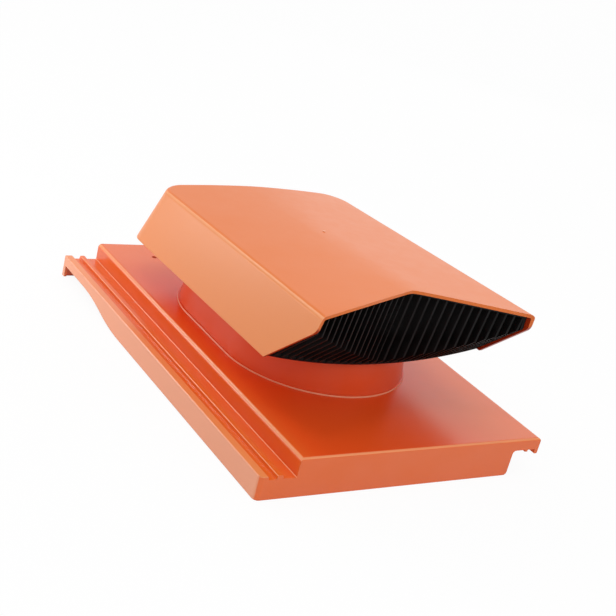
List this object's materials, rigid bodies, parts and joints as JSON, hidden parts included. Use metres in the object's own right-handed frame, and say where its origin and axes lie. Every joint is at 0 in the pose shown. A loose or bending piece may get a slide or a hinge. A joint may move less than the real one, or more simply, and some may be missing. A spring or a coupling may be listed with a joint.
{
  "type": "roof tile vent",
  "caption": "Interlocking plastic roof tile with an oblong neck under a wide low hood, whose front is closed by a black grille of upright fins, for venting through a tiled roof.",
  "frame": {"origin": "middle of the tile's footprint, on the plane that its skirts stand on", "axes": "+X across the slope towards the cover strip, +Y up the slope to the tile's head, +Z square to the plate"},
  "size_m": [0.3, 0.44, 0.1572],
  "materials": {
    "terracotta_plastic": "satin",
    "black_plastic": "matte"
  },
  "bodies": {
    "root": {"base_tile": "terracotta_plastic", "neck": "terracotta_plastic", "hood": "terracotta_plastic", "grille": "black_plastic"}
  },
  "joints": []
}
